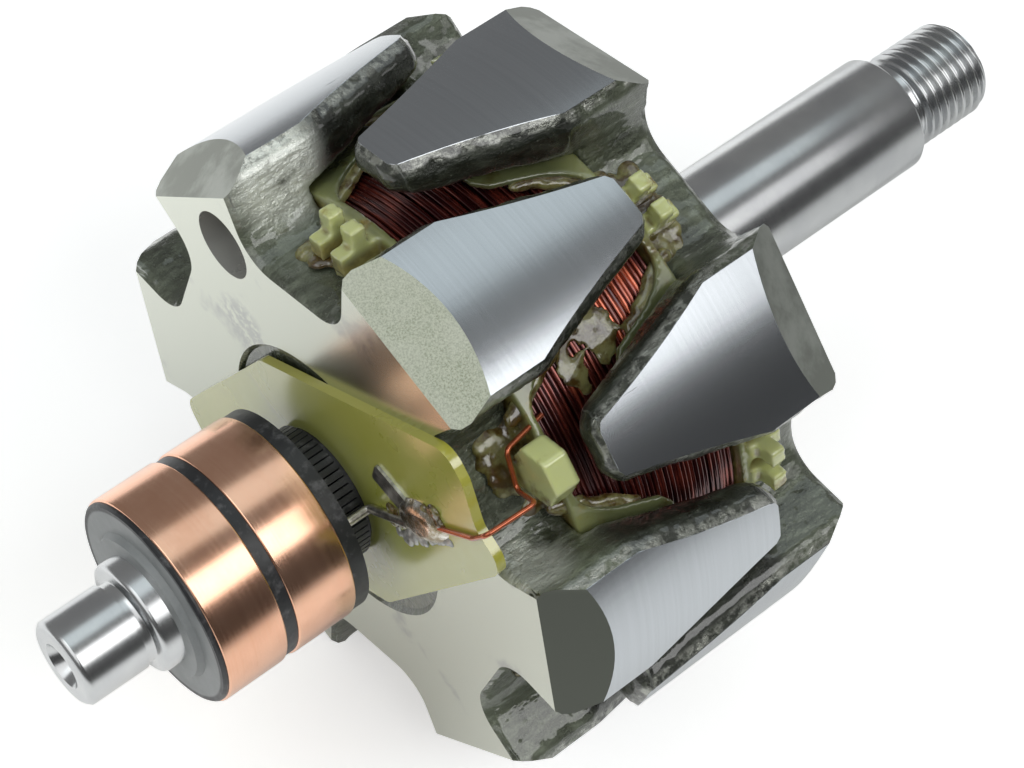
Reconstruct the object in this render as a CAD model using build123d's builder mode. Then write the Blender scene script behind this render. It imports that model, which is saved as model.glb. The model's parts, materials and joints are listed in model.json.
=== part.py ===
# Claw-pole alternator rotor. X is the shaft, +X towards the threaded drive end, +Z up.
# The origin is on the shaft's axis, at the outer face of the drive-end claw pole.
import os
from math import cos, radians, sin, tan

from build123d import *

os.makedirs("parts", exist_ok=True)

# Pole core, in millimetres and degrees
pole_diameter = 90.0
core_length = 48.3
claw_count = 6
front_claw_angle = 105.0
plate_thickness = 11.0
claw_reach = 34.6
claw_root_depth = 13.0
claw_root_half_angle = 15.0
claw_tip_half_angle = 6.5
claw_nose_half_angle = 4.0
claw_nose_length = 1.4
claw_tip_thickness = 4.2
claw_root_wall = 7.6
flank_chamfer = 1.6
flank_chamfer_angle = 1.9
tip_chamfer = 0.8
facet_drop = 4.24
facet_depth = 6.97
notch_depth = 12.7
notch_corner_radius = 5.0
notch_lip = 0.7
hub_recess_radius = 20.0
hub_recess_depth = 0.6
balance_hole_radius = 4.75
balance_hole_inset = 10.7
balance_hole_angle = 4.7
balance_hole_depth = 8.0
drill_point_angle = 118.0
drill_point_share = 0.9

# Shaft
core_seat_radius = 8.8
drive_seat_radius = 8.5
drive_seat_length = 47.95
thread_radius = 7.0
thread_length = 14.16
thread_relief_length = 2.0
thread_relief_depth = 1.1
thread_chamfer = 1.2
seat_chamfer = 0.6
slip_seat_radius = 7.7
slip_collar_length = 3.6
journal_radius = 6.0
journal_length = 10.0
journal_chamfer = 0.6
journal_relief_length = 1.3
journal_relief_depth = 0.45
centre_hole_radius = 3.3
centre_drill_radius = 1.3
centre_drill_depth = 4.5
centre_cone_angle = 60.0

# Hub between the two claw poles, bobbin and winding
hub_radius = 22.0
bobbin_clearance = 0.05
bobbin_wall = 1.2
flange_gap = 1.1
winding_margin = 1.4
petal_reach = 13.4
petal_thickness = 1.0
petal_root_gap = 1.1
petal_flare = 1.2
petal_root_half_angle = 21.0
petal_fillet = ((0.65, 18.4), (1.95, 16.3), (4.65, 13.8))
petal_tip_half_angle = 10.5
petal_nose_half_angle = 7.5
petal_nose_length = 1.6
lug_width = 2.5
lug_gap = 1.7
lug_floor_gap = 0.9
lug_top_inset = 6.2
lug_step_inset = 9.0
lug_stand_off = 1.5
lug_length = 2.1
lug_step_length = 2.0
post_length = 3.6
post_top_inset = 3.0
post_top_width = 4.1
post_shoulder_inset = 6.5
post_shoulder_width = 8.3
post_neck_rise = 1.6
post_neck_width = 3.8

# Slip-ring unit
ring_radius = 14.6
ring_wall = 1.7
ring_width = 8.85
ring_chamfer = 0.3
barrier_width = 1.7
barrier_step = 0.3
moulding_lip = 0.6
collar_width = 2.1
collar_step = 0.2
neck_length = 5.0
neck_radius = 9.4
neck_tooth_depth = 0.6
neck_tooth_count = 56
neck_tooth_share = 0.3
neck_foot_radius = 8.6
neck_foot_length = 0.7
boss_radius = 10.4
boss_height = 0.9
conductor_radius = 0.6
conductor_track_radius = 11.3
conductor_angle = 37.0
conductor_reach = 20.6
conductor_stand_off = 0.65
conductor_bend_radius = 0.72

# Terminal board, lugs and solder, in the board's own axes
board_thickness = 1.3
board_bore_clearance = 1.0
board_corner_radius = 3.0
board_outline = (
    (8.5, -16.4), (38.3, 11.6), (36.2, 15.4), (31.0, 19.8), (29.4, 25.7),
    (-8.5, 15.2), (-33.5, -9.8), (-23.5, -24.9),
)
lug_plate_width = 3.3
lug_plate_length = 6.2
lug_plate_thickness = 0.4
lug_plate_centre = (17.6, 7.9)
lug_plate_corner_radius = 0.5
lug_plate_turn = -6.0
solder_centre = (19.6, 13.6)
solder_turn = 38.0
solder_long_radius = 5.2
solder_short_radius = 3.0
solder_height = 1.3
solder_shoulder_height = 0.78
solder_shoulder_share = 0.82
solder_crown_share = 0.45

# Coil leads: enamelled wire from the winding, past a post, over the board to the solder.
# A point in the notch gives its rise over the notch's floor, its place across it and its depth.
# A point over the board is in the board's own axes, and the last one is in the solder.
lead_radius = 0.34
lead_bend_radius = 0.9
lead_board_gap = 0.08
lead_notch_route = (
    (2.72, -4.75, 13.4), (4.1, -4.16, 6.7), (2.98, 1.11, 6.2), (7.99, 1.79, 5.4),
)
lead_board_route = ((33.406, 21.4), (29.598, 20.195), (20.6, 14.4))

# How far the cutting forms reach, as shares of the radii that they cut
gap_cut_inner_share = 0.8
gap_cut_outer_share = 1.1
chamfer_cut_inner_share = 0.845
chamfer_cut_outer_share = 1.045

# Worked out from the sizes above
pole_radius = pole_diameter / 2
claw_pitch = 360.0 / claw_count
rear_claw_angle = front_claw_angle + claw_pitch / 2
front_face = -core_length
facet_apothem = pole_radius - facet_drop
notch_floor_radius = pole_radius - notch_depth
balance_hole_pitch_radius = pole_radius - balance_hole_inset
claw_root_inner_radius = pole_radius - claw_root_wall
claw_tip_inner_radius = pole_radius - claw_tip_thickness
bore_radius = core_seat_radius
flange_radius = claw_root_inner_radius - flange_gap
winding_radius = flange_radius - winding_margin
petal_root_radius = claw_root_inner_radius - petal_root_gap
petal_tip_radius = petal_root_radius + petal_flare
lug_floor_radius = notch_floor_radius + lug_floor_gap
lug_step_radius = pole_radius - lug_step_inset
lug_top_radius = pole_radius - lug_top_inset
post_neck_radius = notch_floor_radius + post_neck_rise
post_shoulder_radius = pole_radius - post_shoulder_inset
post_top_radius = pole_radius - post_top_inset
overcut = 1.0
board_face = front_face - board_thickness
neck_face = board_face - neck_length
neck_foot = board_face - neck_foot_length
collar_face = neck_face - collar_width
inner_ring_face = collar_face - ring_width
barrier_face = inner_ring_face - barrier_width
outer_ring_face = barrier_face - ring_width
moulding_face = outer_ring_face - moulding_lip
ring_seat_radius = ring_radius - ring_wall
boss_face = moulding_face - boss_height
collar_end = boss_face - slip_collar_length + boss_height
journal_end = collar_end - journal_length
thread_start = drive_seat_length
thread_end = thread_start + thread_length


def radial(angle):
    """Unit vector square to the shaft, at an angle from +Y towards +Z."""
    return Vector(0, cos(radians(angle)), sin(radians(angle)))


def across(x, angle, facing=1):
    """Plane square to the shaft at x, with its own x axis along a radius."""
    return Plane(origin=(x, 0, 0), x_dir=radial(angle), z_dir=(facing, 0, 0))


def radial_point(radius, angle, sideways):
    """Point at a radius and angle, moved sideways, in axes square to the shaft."""
    y = radius * cos(radians(angle)) - sideways * sin(radians(angle))
    z = radius * sin(radians(angle)) + sideways * cos(radians(angle))
    return (y, z)


def outward(distance, angle):
    """Plane square to a radius, with its own x axis along the shaft."""
    centre = radial(angle) * distance
    return Plane(origin=centre, x_dir=(1, 0, 0), z_dir=radial(angle))


def turned(points, mode=Mode.ADD):
    """Revolve a closed outline of (x, radius) points about the shaft's axis."""
    with BuildSketch(Plane.XY) as section:
        with BuildLine():
            Polyline(*points, close=True)
        make_face()
    revolve(section.sketch, axis=Axis.X, mode=mode)


def cut_gap(angle, outline, depths):
    """Cut a gap along a radius; outline gives (x, half width at each depth)."""
    sections = []
    for depth, column in zip(depths, (1, 2)):
        edge = [(row[0], row[column]) for row in outline]
        back = [(x, -y) for x, y in reversed(edge)]
        with BuildSketch(outward(depth, angle)) as section:
            with BuildLine():
                Polyline(*edge, *back, close=True)
            make_face()
        sections.append(section.sketch)
    loft(sections, ruled=True, mode=Mode.SUBTRACT)


def finger_gaps(face_x, inward, first_angle, stations, inner, outer):
    """Cut the gaps between fingers whose half angles are given by depth."""
    for index in range(claw_count):
        outline = []
        for depth, half_angle in stations:
            slope = tan(radians(claw_pitch / 2 - half_angle))
            outline.append((face_x + inward * depth, inner * slope, outer * slope))
        cut_gap(first_angle + (index + 0.5) * claw_pitch, outline, (inner, outer))


# Claw poles


def claw_stations():
    """Depth and half angle of a claw, from the outer face to past its nose."""
    return (
        (claw_root_depth, claw_root_half_angle),
        (claw_reach - claw_nose_length, claw_tip_half_angle),
        (claw_reach, claw_nose_half_angle),
        (claw_reach + overcut, claw_nose_half_angle),
    )


def claw_flank_chamfers(face_x, inward, first_angle):
    """Bevel both outer edges of every claw."""
    inner = pole_radius * chamfer_cut_inner_share
    outer = pole_radius * chamfer_cut_outer_share
    first = ((-overcut, claw_root_half_angle),)
    for index in range(claw_count):
        outline = []
        for depth, half_angle in first + claw_stations():
            flank = radians(claw_pitch / 2 - half_angle)
            edge = flank + radians(flank_chamfer_angle)
            low = pole_radius - flank_chamfer
            low_x, low_y = low * cos(flank), low * sin(flank)
            slope = (pole_radius * sin(edge) - low_y) / (pole_radius * cos(edge) - low_x)
            widths = [low_y + (depth_out - low_x) * slope for depth_out in (inner, outer)]
            outline.append((face_x + inward * depth, *widths))
        cut_gap(first_angle + (index + 0.5) * claw_pitch, outline, (inner, outer))


def facet_planes(face_x, inward, first_angle):
    """Flat facets that bevel the rim in front of each claw."""
    for index in range(claw_count):
        outwards = radial(first_angle + index * claw_pitch)
        rise = pole_radius - facet_apothem
        normal = outwards * facet_depth + Vector(-inward * rise, 0, 0)
        origin = outwards * facet_apothem + Vector(face_x, 0, 0)
        yield Plane(origin=origin, z_dir=normal)


def cut_notch(plane, grow, depth, taper=0):
    """Cut a rounded notch between two claws, from a plane whose x runs along its radius."""
    lean = radians(claw_pitch / 2 - claw_root_half_angle)
    floor = notch_floor_radius - grow
    rim = pole_radius + 3 * overcut
    floor_half_width = floor * tan(lean) + grow / cos(lean)
    rim_half_width = rim * tan(lean) + grow / cos(lean)
    with BuildSketch(plane) as notch:
        with BuildLine():
            FilletPolyline(
                (rim, rim_half_width),
                (floor, floor_half_width),
                (floor, -floor_half_width),
                (rim, -rim_half_width),
                radius=notch_corner_radius + grow,
            )
            Line((rim, rim_half_width), (rim, -rim_half_width))
        make_face()
    extrude(notch.sketch, amount=depth, taper=taper, mode=Mode.SUBTRACT)


def claw_pole(face_x, inward, first_angle):
    """Forged plate with a ring of tapered claws, faced and turned."""
    turned((
        (face_x + inward * hub_recess_depth, bore_radius),
        (face_x + inward * hub_recess_depth, hub_recess_radius - hub_recess_depth),
        (face_x, hub_recess_radius),
        (face_x, pole_radius),
        (face_x + inward * (claw_reach - tip_chamfer), pole_radius),
        (face_x + inward * claw_reach, pole_radius - tip_chamfer),
        (face_x + inward * claw_reach, claw_tip_inner_radius),
        (face_x + inward * plate_thickness, claw_root_inner_radius),
        (face_x + inward * plate_thickness, bore_radius),
    ))
    for plane in facet_planes(face_x, inward, first_angle):
        split(bisect_by=plane, keep=Keep.BOTTOM)
    for index in range(claw_count):
        middle = first_angle + (index + 0.5) * claw_pitch
        before_face = across(face_x - inward * overcut, middle, inward)
        cut_notch(before_face, 0, claw_root_depth + overcut)
        cut_notch(across(face_x, middle, inward), notch_lip, notch_lip, 45)
    finger_gaps(
        face_x, inward, first_angle, claw_stations(),
        notch_floor_radius * gap_cut_inner_share, pole_radius * gap_cut_outer_share,
    )
    claw_flank_chamfers(face_x, inward, first_angle)


with BuildPart() as front_claw_pole:
    claw_pole(front_face, 1, front_claw_angle)
    # Balance drilling, at one claw only
    hole_angle = front_claw_angle - claw_pitch + balance_hole_angle
    with BuildSketch(across(front_face, hole_angle)):
        with Locations((balance_hole_pitch_radius, 0)):
            Circle(balance_hole_radius)
    extrude(amount=balance_hole_depth, mode=Mode.SUBTRACT)
    with BuildSketch(across(front_face + balance_hole_depth, hole_angle)):
        with Locations((balance_hole_pitch_radius, 0)):
            Circle(balance_hole_radius)
    extrude(
        amount=drill_point_share * balance_hole_radius / tan(radians(drill_point_angle / 2)),
        taper=drill_point_angle / 2,
        mode=Mode.SUBTRACT,
    )
front_claw_pole.part.label = "front_claw_pole"

with BuildPart() as rear_claw_pole:
    claw_pole(0, -1, rear_claw_angle)
rear_claw_pole.part.label = "rear_claw_pole"


# Hub: the steel ring that carries the flux between the two plates
with BuildPart() as pole_hub:
    with BuildSketch(Plane.YZ.offset(front_face + plate_thickness)):
        Circle(hub_radius)
        Circle(bore_radius, mode=Mode.SUBTRACT)
    extrude(amount=core_length - 2 * plate_thickness)
pole_hub.part.label = "pole_hub"


# Shaft
def centre_drill(x, facing):
    """Lathe centre in a shaft end: a cone and a short pilot."""
    cone = (centre_hole_radius - centre_drill_radius) / tan(radians(centre_cone_angle / 2))
    pilot_end = cone + centre_drill_depth
    turned((
        (x - facing * overcut, 0),
        (x - facing * overcut, centre_hole_radius),
        (x, centre_hole_radius),
        (x + facing * cone, centre_drill_radius),
        (x + facing * pilot_end, centre_drill_radius),
        (x + facing * (pilot_end + centre_drill_radius), 0),
    ), Mode.SUBTRACT)


with BuildPart() as shaft:
    relief_end = thread_start + thread_relief_length
    thread_root = thread_radius - thread_relief_depth
    journal_relief = journal_radius - journal_relief_depth
    turned((
        (journal_end, 0),
        (journal_end, journal_radius - journal_chamfer),
        (journal_end + journal_chamfer, journal_radius),
        (collar_end - journal_relief_length, journal_radius),
        (collar_end - journal_relief_length, journal_relief),
        (collar_end, journal_relief),
        (collar_end, slip_seat_radius - seat_chamfer),
        (collar_end + seat_chamfer, slip_seat_radius),
        (front_face + hub_recess_depth, slip_seat_radius),
        (front_face + hub_recess_depth, core_seat_radius),
        (-hub_recess_depth, core_seat_radius),
        (-hub_recess_depth, drive_seat_radius),
        (thread_start - seat_chamfer, drive_seat_radius),
        (thread_start, drive_seat_radius - seat_chamfer),
        (thread_start, thread_root),
        (relief_end, thread_root),
        (relief_end, thread_radius),
        (thread_end - thread_chamfer, thread_radius),
        (thread_end, thread_radius - thread_chamfer),
        (thread_end, 0),
    ))
    centre_drill(journal_end, 1)
    centre_drill(thread_end, -1)
shaft.part.label = "shaft"


# Wires: round section swept along straight runs joined by arcs
def round_wire(points, radius, bend):
    """Sweep a round wire through points given in the rotor's own axes."""
    with BuildLine() as path:
        FilletPolyline(*points, radius=bend)
    with BuildSketch(Plane(origin=path.line @ 0, z_dir=path.line % 0)) as section:
        Circle(radius)
    sweep(section.sketch, path=path.line)


def conductor(ring_middle, half_turn):
    """Wire from the bore of a ring, along the moulding, out to the board."""
    outwards = radial(front_claw_angle + conductor_angle + half_turn)
    outlet = board_face - conductor_stand_off
    points = (
        outwards * ring_seat_radius + Vector(ring_middle, 0, 0),
        outwards * conductor_track_radius + Vector(ring_middle, 0, 0),
        outwards * conductor_track_radius + Vector(outlet, 0, 0),
        outwards * conductor_reach + Vector(outlet, 0, 0),
    )
    round_wire(points, conductor_radius, conductor_bend_radius)


with BuildPart() as inner_ring_conductor:
    conductor(inner_ring_face + ring_width / 2, 0)
inner_ring_conductor.part.label = "inner_ring_conductor"

with BuildPart() as outer_ring_conductor:
    conductor(outer_ring_face + ring_width / 2, 180)
outer_ring_conductor.part.label = "outer_ring_conductor"


def coil_lead(half_turn):
    """Winding end: up beside a post, over its front, then down onto the board."""
    board_angle = front_claw_angle + half_turn
    notch_angle = board_angle + claw_pitch / 2
    over_board = -board_thickness - lead_radius - lead_board_gap
    points = []
    for rise, sideways, depth in lead_notch_route:
        point = Vector(front_face + depth, 0, 0)
        point += radial(notch_angle) * (notch_floor_radius + rise)
        point += radial(notch_angle + 90) * sideways
        points.append(point)
    for along, sideways in lead_board_route:
        point = Vector(front_face + over_board, 0, 0)
        point += radial(board_angle) * along
        point += radial(board_angle + 90) * sideways
        points.append(point)
    round_wire(points, lead_radius, lead_bend_radius)


with BuildPart() as coil_lead_start:
    coil_lead(0)
coil_lead_start.part.label = "coil_lead_start"

with BuildPart() as coil_lead_end:
    coil_lead(180)
coil_lead_end.part.label = "coil_lead_end"


# Bobbin: barrel, two flanges, petals under the claws and lugs in the notches
def petal_ring(face_x, inward, first_angle):
    """Six tapered petals that flare out under the claws of one pole."""
    flange_depth = plate_thickness + bobbin_clearance
    petal_depth = flange_depth + petal_reach
    turned((
        (face_x + inward * flange_depth, petal_root_radius - petal_thickness),
        (face_x + inward * flange_depth, petal_root_radius),
        (face_x + inward * petal_depth, petal_tip_radius),
        (face_x + inward * petal_depth, petal_tip_radius - petal_thickness),
    ))
    root_depth = flange_depth + bobbin_wall
    stations = (
        (root_depth, petal_root_half_angle),
        *((root_depth + beyond, half_angle) for beyond, half_angle in petal_fillet),
        (petal_depth - petal_nose_length, petal_tip_half_angle),
        (petal_depth, petal_nose_half_angle),
        (petal_depth + overcut, petal_nose_half_angle),
    )
    finger_gaps(face_x, inward, first_angle, stations, winding_radius * gap_cut_inner_share, pole_radius)


def lug_pair(plane, top_radius, length):
    """Two blocks side by side, on a plane whose x runs along the notch's radius."""
    with BuildSketch(plane) as feet:
        for side in (-1, 1):
            lug_middle = side * (lug_gap + lug_width) / 2
            with Locations(((lug_floor_radius + top_radius) / 2, lug_middle)):
                Rectangle(top_radius - lug_floor_radius, lug_width)
    extrude(feet.sketch, amount=length)


def lead_post(plane):
    """Six-sided head on a narrow neck, which the coil lead goes past."""
    corners = (
        (lug_floor_radius, post_neck_width / 2),
        (post_neck_radius, post_neck_width / 2),
        (post_shoulder_radius, post_shoulder_width / 2),
        (post_top_radius, post_top_width / 2),
    )
    other_side = [(radius, -sideways) for radius, sideways in reversed(corners)]
    with BuildSketch(plane) as foot:
        with BuildLine():
            Polyline(*corners, *other_side, close=True)
        make_face()
    extrude(foot.sketch, amount=post_length)


def notch_feet(face_x, inward, first_angle, post_notches=()):
    """Stand a pair of stepped lugs, or a post, on a flange in each notch."""
    flange_x = face_x + inward * (plate_thickness + bobbin_clearance)
    lug_x = flange_x - inward * lug_stand_off
    low_length = lug_stand_off + lug_length + lug_step_length
    for index in range(claw_count):
        middle = first_angle + (index + 0.5) * claw_pitch
        if index in post_notches:
            lead_post(across(flange_x, middle, -inward))
        else:
            lug_pair(across(flange_x, middle, -inward), lug_step_radius, low_length)
            lug_pair(across(lug_x, middle, -inward), lug_top_radius, lug_length)


with BuildPart() as front_petals:
    petal_ring(front_face, 1, front_claw_angle)

with BuildPart() as rear_petals:
    petal_ring(0, -1, rear_claw_angle)

with BuildPart() as coil_bobbin:
    barrel_start = front_face + plate_thickness + bobbin_clearance
    barrel_end = -plate_thickness - bobbin_clearance
    barrel_bore = hub_radius + bobbin_clearance
    barrel_radius = barrel_bore + bobbin_wall
    turned((
        (barrel_start, barrel_bore),
        (barrel_start, flange_radius),
        (barrel_start + bobbin_wall, flange_radius),
        (barrel_start + bobbin_wall, barrel_radius),
        (barrel_end - bobbin_wall, barrel_radius),
        (barrel_end - bobbin_wall, flange_radius),
        (barrel_end, flange_radius),
        (barrel_end, barrel_bore),
    ))
    notch_feet(front_face, 1, front_claw_angle, (0, claw_count // 2))
    notch_feet(0, -1, rear_claw_angle)
    add(front_petals.part)
    add(rear_petals.part)
    add(coil_lead_start.part, mode=Mode.SUBTRACT)
    add(coil_lead_end.part, mode=Mode.SUBTRACT)
coil_bobbin.part.label = "coil_bobbin"


# Field winding: the layers of enamelled wire, as one closed form
with BuildPart() as field_winding:
    turned((
        (barrel_start + bobbin_wall, barrel_radius),
        (barrel_start + bobbin_wall, winding_radius),
        (barrel_end - bobbin_wall, winding_radius),
        (barrel_end - bobbin_wall, barrel_radius),
    ))
field_winding.part.label = "field_winding"


# Slip-ring unit: black moulding pressed on the shaft, two copper rings on it
def slip_ring(face_x):
    """Copper ring with both outer edges broken."""
    back_x = face_x + ring_width
    turned((
        (face_x, ring_seat_radius),
        (face_x, ring_radius - ring_chamfer),
        (face_x + ring_chamfer, ring_radius),
        (back_x - ring_chamfer, ring_radius),
        (back_x, ring_radius - ring_chamfer),
        (back_x, ring_seat_radius),
    ))


with BuildPart() as outer_slip_ring:
    slip_ring(outer_ring_face)
outer_slip_ring.part.label = "outer_slip_ring"

with BuildPart() as inner_slip_ring:
    slip_ring(inner_ring_face)
inner_slip_ring.part.label = "inner_slip_ring"

with BuildPart() as slip_ring_moulding:
    barrier_radius = ring_radius - barrier_step
    turned((
        (boss_face, slip_seat_radius),
        (boss_face, boss_radius - boss_height / 2),
        (moulding_face, boss_radius),
        (moulding_face, ring_radius - moulding_lip),
        (moulding_face + moulding_lip / 2, ring_radius - moulding_lip / 2),
        (outer_ring_face, ring_radius - moulding_lip / 2),
        (outer_ring_face, ring_seat_radius),
        (barrier_face, ring_seat_radius),
        (barrier_face, barrier_radius),
        (inner_ring_face, barrier_radius),
        (inner_ring_face, ring_seat_radius),
        (collar_face, ring_seat_radius),
        (collar_face, ring_radius - collar_step),
        (neck_face, ring_radius - collar_step),
        (neck_face, neck_radius),
        (neck_foot, neck_radius),
        (neck_foot, neck_foot_radius),
        (board_face, neck_foot_radius),
        (board_face, slip_seat_radius),
    ))
    # Fine teeth round the neck behind the collar
    tooth_pitch = 360.0 / neck_tooth_count
    tooth_half_width = neck_radius * radians(tooth_pitch) * neck_tooth_share
    with BuildSketch(Plane.YZ.offset(neck_face)) as grooves:
        for index in range(neck_tooth_count):
            with BuildLine():
                Polyline(
                    radial_point(neck_radius - neck_tooth_depth, index * tooth_pitch, 0),
                    radial_point(neck_radius + overcut, index * tooth_pitch, -tooth_half_width),
                    radial_point(neck_radius + overcut, index * tooth_pitch, tooth_half_width),
                    close=True,
                )
            make_face()
    extrude(grooves.sketch, amount=neck_foot - neck_face, mode=Mode.SUBTRACT)
    add(inner_ring_conductor.part, mode=Mode.SUBTRACT)
    add(outer_ring_conductor.part, mode=Mode.SUBTRACT)
slip_ring_moulding.part.label = "slip_ring_moulding"


# Terminal board and what is soldered on it
def board_plane(x, half_turn=0):
    """Board axes: x towards the first front claw, seen from the drive end."""
    angle = front_claw_angle + half_turn
    return Plane(origin=(x, 0, 0), x_dir=radial(angle), z_dir=(1, 0, 0))


with BuildPart() as terminal_board:
    with BuildSketch(board_plane(board_face)) as board:
        with BuildLine():
            FilletPolyline(*board_outline, radius=board_corner_radius, close=True)
        make_face()
        Circle(slip_seat_radius + board_bore_clearance, mode=Mode.SUBTRACT)
    extrude(board.sketch, amount=board_thickness)
terminal_board.part.label = "terminal_board"


def terminal_lug(half_turn):
    """Tinned strip that lies on the board under the solder."""
    with BuildSketch(board_plane(board_face - lug_plate_thickness, half_turn)) as strip:
        with Locations(Location((*lug_plate_centre, 0), (0, 0, lug_plate_turn))):
            RectangleRounded(lug_plate_width, lug_plate_length, lug_plate_corner_radius)
    extrude(strip.sketch, amount=lug_plate_thickness)


def solder_joint(half_turn):
    """Domed solder that joins the coil lead and the ring's conductor."""
    layers = []
    profile = (
        (0, 1),
        (solder_shoulder_height, solder_shoulder_share),
        (solder_height, solder_crown_share),
    )
    for height, share in profile:
        with BuildSketch(board_plane(board_face - height, half_turn)) as layer:
            with Locations(Location((*solder_centre, 0), (0, 0, solder_turn))):
                Ellipse(solder_long_radius * share, solder_short_radius * share)
        layers.append(layer.sketch)
    loft(layers)


with BuildPart() as terminal_lug_start:
    terminal_lug(0)
terminal_lug_start.part.label = "terminal_lug_start"

with BuildPart() as terminal_lug_end:
    terminal_lug(180)
terminal_lug_end.part.label = "terminal_lug_end"

with BuildPart() as solder_joint_start:
    solder_joint(0)
    add(terminal_lug_start.part, mode=Mode.SUBTRACT)
    add(coil_lead_start.part, mode=Mode.SUBTRACT)
    add(inner_ring_conductor.part, mode=Mode.SUBTRACT)
solder_joint_start.part.label = "solder_joint_start"

with BuildPart() as solder_joint_end:
    solder_joint(180)
    add(terminal_lug_end.part, mode=Mode.SUBTRACT)
    add(coil_lead_end.part, mode=Mode.SUBTRACT)
    add(outer_ring_conductor.part, mode=Mode.SUBTRACT)
solder_joint_end.part.label = "solder_joint_end"

pieces = (
    shaft, pole_hub, front_claw_pole, rear_claw_pole, coil_bobbin, field_winding,
    slip_ring_moulding, outer_slip_ring, inner_slip_ring, outer_ring_conductor,
    inner_ring_conductor, terminal_board, terminal_lug_start, terminal_lug_end,
    solder_joint_start, solder_joint_end, coil_lead_start, coil_lead_end,
)
for piece in pieces:
    export_step(piece.part, f"parts/{piece.part.label}.step")
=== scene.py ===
"""Looks of a claw-pole alternator rotor. Lengths are in metres, angles in degrees."""

import json
import math
import random

import bmesh
import bpy
from mathutils import Matrix, Vector, noise


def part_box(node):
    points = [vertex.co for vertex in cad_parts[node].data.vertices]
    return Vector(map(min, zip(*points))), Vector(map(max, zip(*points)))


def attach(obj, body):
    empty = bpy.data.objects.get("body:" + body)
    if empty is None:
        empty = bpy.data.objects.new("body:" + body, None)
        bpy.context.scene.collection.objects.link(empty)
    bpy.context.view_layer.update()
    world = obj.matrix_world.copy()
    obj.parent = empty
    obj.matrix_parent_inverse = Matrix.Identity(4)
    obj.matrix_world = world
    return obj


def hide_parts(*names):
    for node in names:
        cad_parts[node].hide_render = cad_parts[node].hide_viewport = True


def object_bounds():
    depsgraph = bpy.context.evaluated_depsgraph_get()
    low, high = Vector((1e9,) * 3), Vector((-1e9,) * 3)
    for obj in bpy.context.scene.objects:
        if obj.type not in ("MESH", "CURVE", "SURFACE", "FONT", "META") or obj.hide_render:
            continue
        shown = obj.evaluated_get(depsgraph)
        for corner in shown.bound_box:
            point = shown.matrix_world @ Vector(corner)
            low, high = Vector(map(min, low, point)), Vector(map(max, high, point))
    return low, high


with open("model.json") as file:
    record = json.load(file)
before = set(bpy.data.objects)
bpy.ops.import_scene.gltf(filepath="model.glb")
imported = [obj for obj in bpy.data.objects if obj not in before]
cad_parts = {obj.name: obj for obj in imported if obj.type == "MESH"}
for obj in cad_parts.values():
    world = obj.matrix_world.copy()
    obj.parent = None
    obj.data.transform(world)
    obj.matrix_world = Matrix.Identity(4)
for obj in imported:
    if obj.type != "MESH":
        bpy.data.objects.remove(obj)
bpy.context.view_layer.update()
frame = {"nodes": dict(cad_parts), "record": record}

MM = 0.001

# Sizes read from the frame
front_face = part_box("front_claw_pole")[0].x
board_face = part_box("terminal_board")[0].x
moulding_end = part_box("slip_ring_moulding")[0].x
shaft_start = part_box("shaft")[0].x
shaft_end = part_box("shaft")[1].x
winding_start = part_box("field_winding")[0].x
winding_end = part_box("field_winding")[1].x
winding_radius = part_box("field_winding")[1].y

# Sizes of the claw poles, as the part has them
pole_radius = 45.0 * MM
claw_count = 6
claw_pitch = 60.0
front_angle = 105.0
facet_lean = 0.52  # the x part of a rim facet's normal

# Balance drilling in the front pole
drill_angle = math.radians(49.7)
drill_y = 34.3 * math.cos(drill_angle) * MM
drill_z = 34.3 * math.sin(drill_angle) * MM
drill_depth = 9.0 * MM


def radial(angle):
    """Unit vector square to the shaft, at an angle from +Y towards +Z."""
    turn = math.radians(angle)
    return Vector((0, math.cos(turn), math.sin(turn)))


# Materials


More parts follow.
